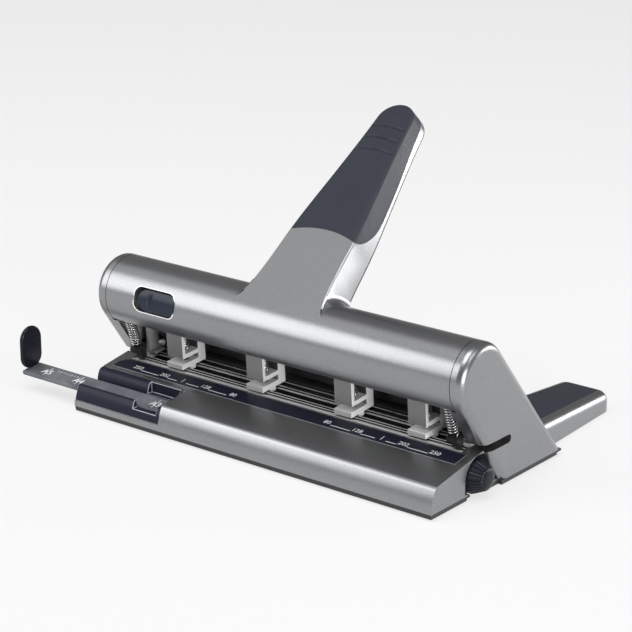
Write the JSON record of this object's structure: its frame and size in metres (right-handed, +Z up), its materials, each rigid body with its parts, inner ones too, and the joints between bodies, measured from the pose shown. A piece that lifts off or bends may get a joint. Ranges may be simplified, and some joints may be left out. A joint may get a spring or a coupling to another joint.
{
  "type": "adjustable lever hole punch",
  "caption": "Half-round silver lever cover over sliding punch units on a ledge base with scale, side guide, depth knob, rear feet and bottom chip tray",
  "frame": {"origin": "on the desk, under the middle of the base between its front and back edges", "axes": "+X along the row of punches to the right as seen from the front, +Y to the back, +Z up"},
  "size_m": [0.3668, 0.2316, 0.2053],
  "materials": {
    "silver_paint": "satin silver-grey paint",
    "bright_steel": "plain ground steel",
    "zinc_plate": "zinc-plated sheet",
    "black_sheet": "black painted sheet",
    "black_plastic": "gloss black",
    "matt_plastic": "fine matt black",
    "soft_black": "soft matt black",
    "bronze": "plain bronze",
    "spring_steel": "bright wound wire"
  },
  "bodies": {
    "base": {"base_plate": "black_sheet", "base_casing": "silver_paint", "scale_strip": "matt_plastic", "guide_holder": "black_plastic", "die_rail": "zinc_plate", "table_plate": "black_sheet", "rear_cover": "silver_paint", "left_cheek": "silver_paint", "right_cheek": "silver_paint", "left_side_frame": "zinc_plate", "right_side_frame": "zinc_plate", "pivot_bushes": "bronze", "left_press_guide": "zinc_plate", "right_press_guide": "zinc_plate", "spring_anchors": "zinc_plate", "left_rear_foot": "silver_paint", "right_rear_foot": "silver_paint", "left_foot_pad": "soft_black", "right_foot_pad": "soft_black", "foot_screws": "zinc_plate", "rubber_feet": "soft_black", "tray_hinge_pins": "bright_steel", "left_return_spring": "spring_steel", "right_return_spring": "spring_steel"},
    "lever": {"lever_cover": "silver_paint", "handle_underside": "matt_plastic", "handle_screws": "zinc_plate", "grip_pad": "soft_black", "pivot_shaft": "bright_steel", "press_rod": "bright_steel", "cover_ribs": "zinc_plate", "spring_hooks": "zinc_plate"},
    "lock": {"lock_slider": "black_plastic"},
    "press_bar": {"press_bar": "bright_steel"},
    "guide": {"guide_bar": "matt_plastic", "stop_paddle": "black_plastic"},
    "knob": {"depth_knob": "black_plastic", "stop_shaft": "bright_steel", "pinions": "bright_steel"},
    "stop": {"depth_stop": "black_sheet", "stop_racks": "bright_steel"},
    "tray": {"chip_tray": "black_sheet"},
    "unit_1": {"unit_1_frame": "zinc_plate", "unit_1_clip": "bright_steel"},
    "pin_1": {"unit_1_pin": "bright_steel", "unit_1_spring": "spring_steel"},
    "unit_2": {"unit_2_frame": "zinc_plate", "unit_2_clip": "bright_steel"},
    "pin_2": {"unit_2_pin": "bright_steel", "unit_2_spring": "spring_steel"},
    "unit_3": {"unit_3_frame": "zinc_plate", "unit_3_clip": "bright_steel"},
    "pin_3": {"unit_3_pin": "bright_steel", "unit_3_spring": "spring_steel"},
    "unit_4": {"unit_4_frame": "zinc_plate", "unit_4_clip": "bright_steel"},
    "pin_4": {"unit_4_pin": "bright_steel", "unit_4_spring": "spring_steel"}
  },
  "joints": [
    {"name": "lever", "type": "hinge", "parent": "base", "child": "lever", "pos_m": [0, -0.0205, 0.0772], "axis": [1, 0, 0], "range_deg": [-38, 0], "stiffness_Nm_per_rad": 1.2, "springref_deg": 34.38, "deforming": ["left_return_spring", "right_return_spring"]},
    {"name": "lock_slide", "type": "slide", "parent": "lever", "child": "lock", "axis": [-1, 0, 0], "range_m": [0, 0.0055]},
    {"name": "press_slide", "type": "slide", "parent": "base", "child": "press_bar", "axis": [0, 0.0785, -0.9969], "range_m": [0, 0.0056]},
    {"name": "guide_slide", "type": "slide", "parent": "base", "child": "guide", "axis": [1, 0, 0], "range_m": [0, 0.052]},
    {"name": "knob_turn", "type": "hinge", "parent": "base", "child": "knob", "pos_m": [0, -0.0205, 0.0134], "axis": [1, 0, 0], "range_deg": [-80, 80]},
    {"name": "stop_slide", "type": "slide", "parent": "base", "child": "stop", "axis": [0, 1, 0], "range_m": [-0.0083, 0.0083]},
    {"name": "tray_hinge", "type": "hinge", "parent": "base", "child": "tray", "pos_m": [0, 0.0685, 0.0024], "axis": [1, 0, 0], "range_deg": [0, 60]},
    {"name": "unit_1_slide", "type": "slide", "parent": "base", "child": "unit_1", "axis": [1, 0, 0], "range_m": [-0.02, 0.025]},
    {"name": "pin_1_slide", "type": "slide", "parent": "unit_1", "child": "pin_1", "axis": [0, 0.0785, -0.9969], "range_m": [0, 0.0056], "deforming": ["unit_1_spring"]},
    {"name": "unit_2_slide", "type": "slide", "parent": "base", "child": "unit_2", "axis": [1, 0, 0], "range_m": [-0.025, 0.025]},
    {"name": "pin_2_slide", "type": "slide", "parent": "unit_2", "child": "pin_2", "axis": [0, 0.0785, -0.9969], "range_m": [0, 0.0056], "deforming": ["unit_2_spring"]},
    {"name": "unit_3_slide", "type": "slide", "parent": "base", "child": "unit_3", "axis": [1, 0, 0], "range_m": [-0.025, 0.018]},
    {"name": "pin_3_slide", "type": "slide", "parent": "unit_3", "child": "pin_3", "axis": [0, 0.0785, -0.9969], "range_m": [0, 0.0056], "deforming": ["unit_3_spring"]},
    {"name": "unit_4_slide", "type": "slide", "parent": "base", "child": "unit_4", "axis": [1, 0, 0], "range_m": [-0.018, 0.016]},
    {"name": "pin_4_slide", "type": "slide", "parent": "unit_4", "child": "pin_4", "axis": [0, 0.0785, -0.9969], "range_m": [0, 0.0056], "deforming": ["unit_4_spring"]}
  ],
  "couplings": [
    {"joint": "press_slide", "follows": "lever", "m_per_rad": -0.0082829},
    {"joint": "knob_turn", "follows": "stop_slide", "rad_per_m": -166.67},
    {"joint": "pin_1_slide", "follows": "lever", "m_per_rad": -0.0082829},
    {"joint": "pin_2_slide", "follows": "lever", "m_per_rad": -0.0082829},
    {"joint": "pin_3_slide", "follows": "lever", "m_per_rad": -0.0082829},
    {"joint": "pin_4_slide", "follows": "lever", "m_per_rad": -0.0082829}
  ]
}
